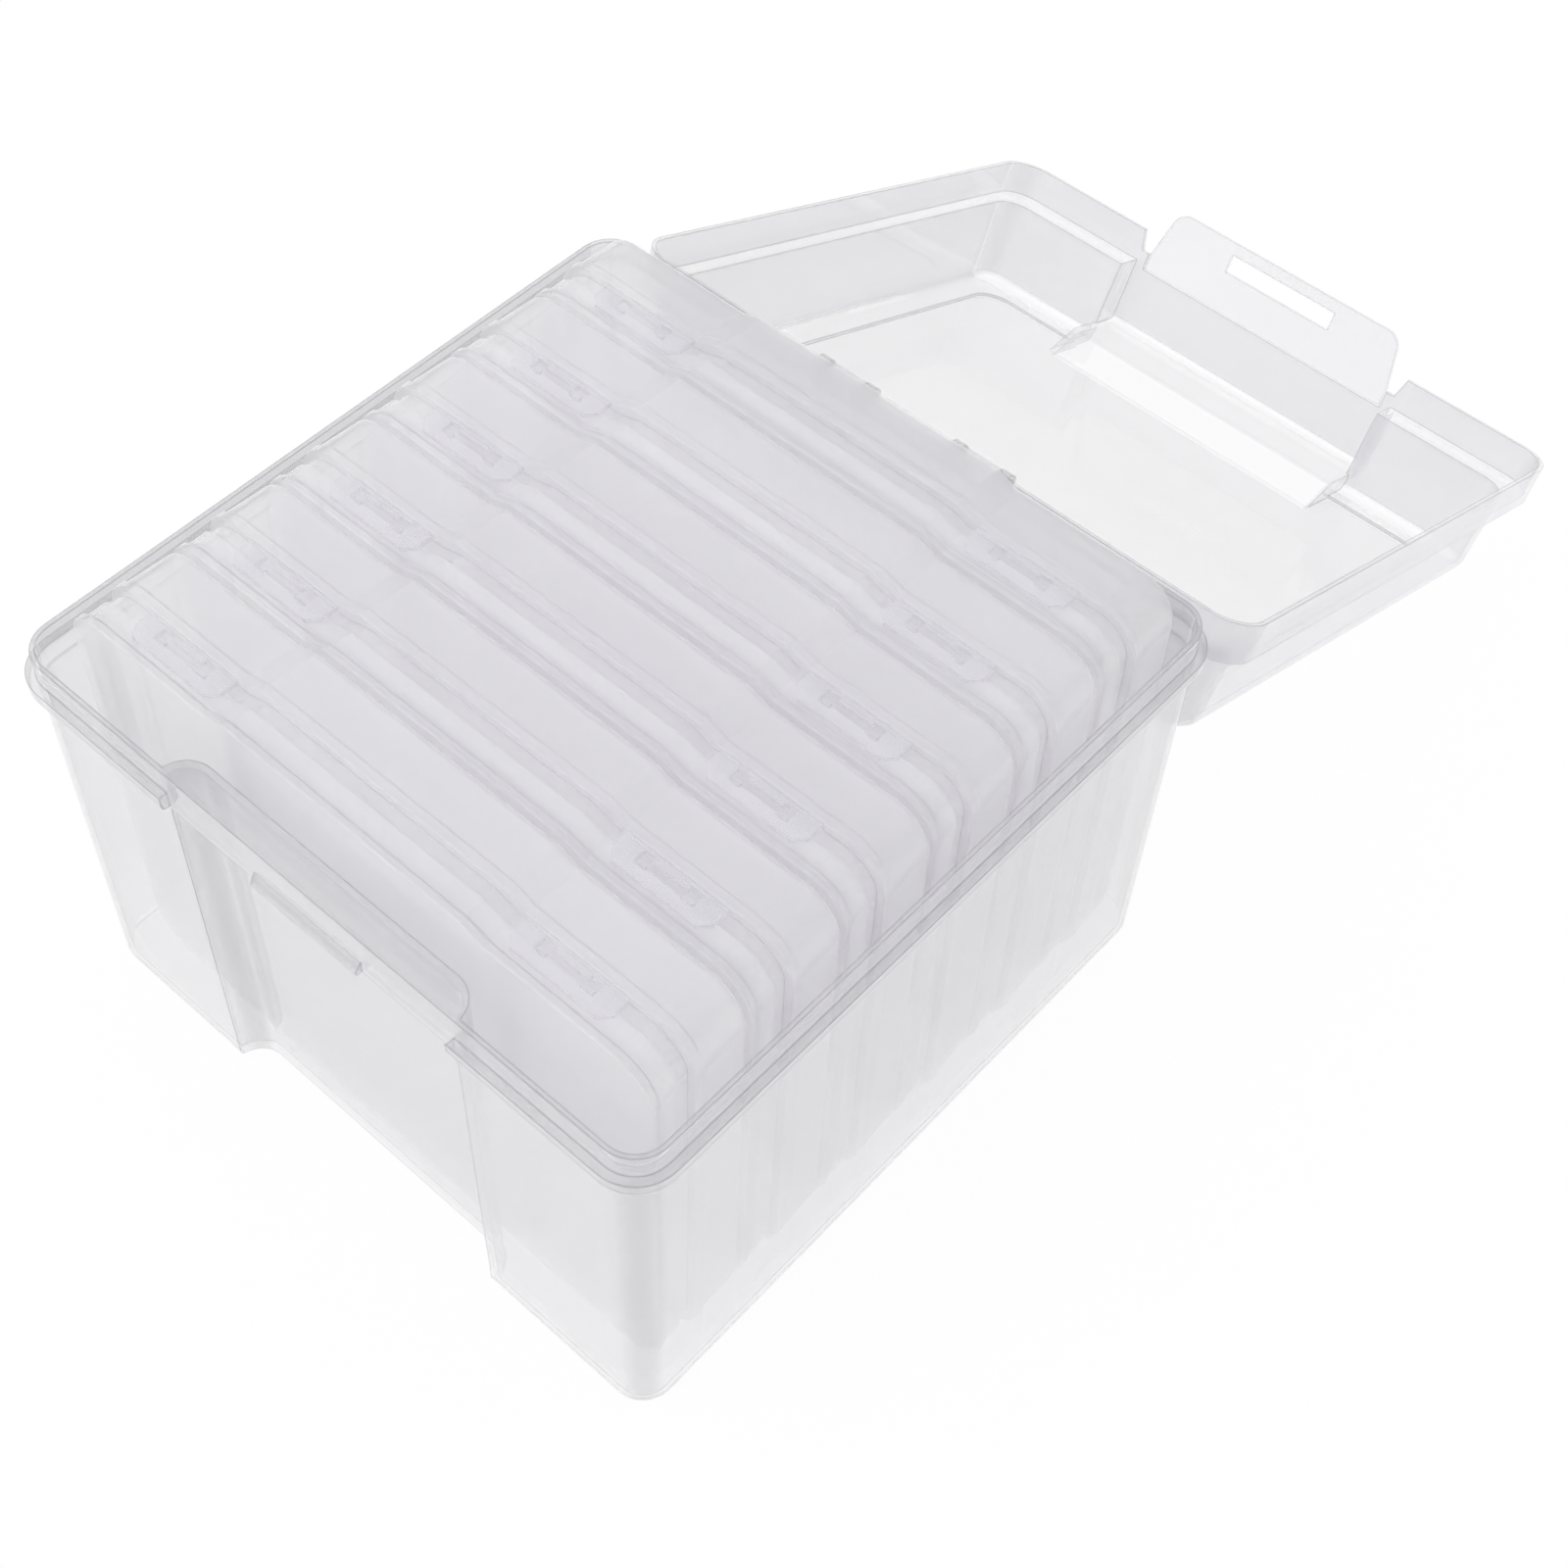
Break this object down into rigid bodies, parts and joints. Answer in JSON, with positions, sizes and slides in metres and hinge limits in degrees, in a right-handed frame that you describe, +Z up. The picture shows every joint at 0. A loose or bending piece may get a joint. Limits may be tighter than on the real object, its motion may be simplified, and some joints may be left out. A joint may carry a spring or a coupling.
{
  "type": "photo keeper case",
  "caption": "Clear lidded storage box with slim snap-shut photo cases standing on edge, a hinged lid with a latch flap, and a finger well in front.",
  "frame": {"origin": "centre of the tub's flat underside", "axes": "+Z up, -Y towards the finger well and the lid's latch when closed, +X to the right seen from the front; stored with the box lid fully open"},
  "size_m": [0.1836, 0.3622, 0.1278],
  "materials": {
    "tub_plastic": "clear polypropylene with a faint haze",
    "lid_plastic": "clear polypropylene with a faint haze",
    "latch_plastic": "clear polypropylene with a faint haze",
    "case_tray_plastic": "frosted clear polypropylene",
    "case_lid_plastic": "frosted clear polypropylene",
    "case_latch_plastic": "frosted clear polypropylene"
  },
  "bodies": {
    "tub": {"tub": "tub_plastic"},
    "lid": {"lid": "lid_plastic"},
    "lid_latch": {"lid_latch": "latch_plastic"},
    "case_1": {"case_1_tray": "case_tray_plastic", "case_1_lid": "case_lid_plastic"},
    "case_1_latch_left": {"case_1_latch_left": "case_latch_plastic"},
    "case_1_latch_right": {"case_1_latch_right": "case_latch_plastic"},
    "case_2": {"case_2_tray": "case_tray_plastic", "case_2_lid": "case_lid_plastic"},
    "case_2_latch_left": {"case_2_latch_left": "case_latch_plastic"},
    "case_2_latch_right": {"case_2_latch_right": "case_latch_plastic"},
    "case_3": {"case_3_tray": "case_tray_plastic", "case_3_lid": "case_lid_plastic"},
    "case_3_latch_left": {"case_3_latch_left": "case_latch_plastic"},
    "case_3_latch_right": {"case_3_latch_right": "case_latch_plastic"},
    "case_4": {"case_4_tray": "case_tray_plastic", "case_4_lid": "case_lid_plastic"},
    "case_4_latch_left": {"case_4_latch_left": "case_latch_plastic"},
    "case_4_latch_right": {"case_4_latch_right": "case_latch_plastic"},
    "case_5": {"case_5_tray": "case_tray_plastic", "case_5_lid": "case_lid_plastic"},
    "case_5_latch_left": {"case_5_latch_left": "case_latch_plastic"},
    "case_5_latch_right": {"case_5_latch_right": "case_latch_plastic"},
    "case_6": {"case_6_tray": "case_tray_plastic", "case_6_lid": "case_lid_plastic"},
    "case_6_latch_left": {"case_6_latch_left": "case_latch_plastic"},
    "case_6_latch_right": {"case_6_latch_right": "case_latch_plastic"}
  },
  "joints": [
    {"name": "lid_hinge", "type": "hinge", "parent": "tub", "child": "lid", "pos_m": [0, 0.09615, 0.1045], "axis": [-1, 0, 0], "range_deg": [-203.8, 0]},
    {"name": "lid_latch_flex", "type": "hinge", "parent": "lid", "child": "lid_latch", "pos_m": [0, 0.26219, 0.01782], "axis": [-1, 0, 0], "range_deg": [-5.5, 57.5], "stiffness_Nm_per_rad": 0.05},
    {"name": "case_1_lift", "type": "slide", "parent": "tub", "child": "case_1", "axis": [0, 0, 1], "range_m": [0, 0.125]},
    {"name": "case_1_left_snap", "type": "hinge", "parent": "case_1", "child": "case_1_latch_left", "pos_m": [-0.0529, -0.0682, 0.1256], "axis": [-1, 0, 0], "range_deg": [0, 110]},
    {"name": "case_1_right_snap", "type": "hinge", "parent": "case_1", "child": "case_1_latch_right", "pos_m": [0.0553, -0.0682, 0.1256], "axis": [-1, 0, 0], "range_deg": [0, 110]},
    {"name": "case_2_lift", "type": "slide", "parent": "tub", "child": "case_2", "axis": [0, 0, 1], "range_m": [0, 0.125]},
    {"name": "case_2_left_snap", "type": "hinge", "parent": "case_2", "child": "case_2_latch_left", "pos_m": [-0.0529, -0.04156, 0.1256], "axis": [-1, 0, 0], "range_deg": [0, 110]},
    {"name": "case_2_right_snap", "type": "hinge", "parent": "case_2", "child": "case_2_latch_right", "pos_m": [0.0553, -0.04156, 0.1256], "axis": [-1, 0, 0], "range_deg": [0, 110]},
    {"name": "case_3_lift", "type": "slide", "parent": "tub", "child": "case_3", "axis": [0, 0, 1], "range_m": [0, 0.125]},
    {"name": "case_3_left_snap", "type": "hinge", "parent": "case_3", "child": "case_3_latch_left", "pos_m": [-0.0529, -0.01492, 0.1256], "axis": [-1, 0, 0], "range_deg": [0, 110]},
    {"name": "case_3_right_snap", "type": "hinge", "parent": "case_3", "child": "case_3_latch_right", "pos_m": [0.0553, -0.01492, 0.1256], "axis": [-1, 0, 0], "range_deg": [0, 110]},
    {"name": "case_4_lift", "type": "slide", "parent": "tub", "child": "case_4", "axis": [0, 0, 1], "range_m": [0, 0.125]},
    {"name": "case_4_left_snap", "type": "hinge", "parent": "case_4", "child": "case_4_latch_left", "pos_m": [-0.0529, 0.01172, 0.1256], "axis": [-1, 0, 0], "range_deg": [0, 110]},
    {"name": "case_4_right_snap", "type": "hinge", "parent": "case_4", "child": "case_4_latch_right", "pos_m": [0.0553, 0.01172, 0.1256], "axis": [-1, 0, 0], "range_deg": [0, 110]},
    {"name": "case_5_lift", "type": "slide", "parent": "tub", "child": "case_5", "axis": [0, 0, 1], "range_m": [0, 0.125]},
    {"name": "case_5_left_snap", "type": "hinge", "parent": "case_5", "child": "case_5_latch_left", "pos_m": [-0.0529, 0.03836, 0.1256], "axis": [-1, 0, 0], "range_deg": [0, 110]},
    {"name": "case_5_right_snap", "type": "hinge", "parent": "case_5", "child": "case_5_latch_right", "pos_m": [0.0553, 0.03836, 0.1256], "axis": [-1, 0, 0], "range_deg": [0, 110]},
    {"name": "case_6_lift", "type": "slide", "parent": "tub", "child": "case_6", "axis": [0, 0, 1], "range_m": [0, 0.125]},
    {"name": "case_6_left_snap", "type": "hinge", "parent": "case_6", "child": "case_6_latch_left", "pos_m": [-0.0529, 0.065, 0.1256], "axis": [-1, 0, 0], "range_deg": [0, 110]},
    {"name": "case_6_right_snap", "type": "hinge", "parent": "case_6", "child": "case_6_latch_right", "pos_m": [0.0553, 0.065, 0.1256], "axis": [-1, 0, 0], "range_deg": [0, 110]}
  ]
}
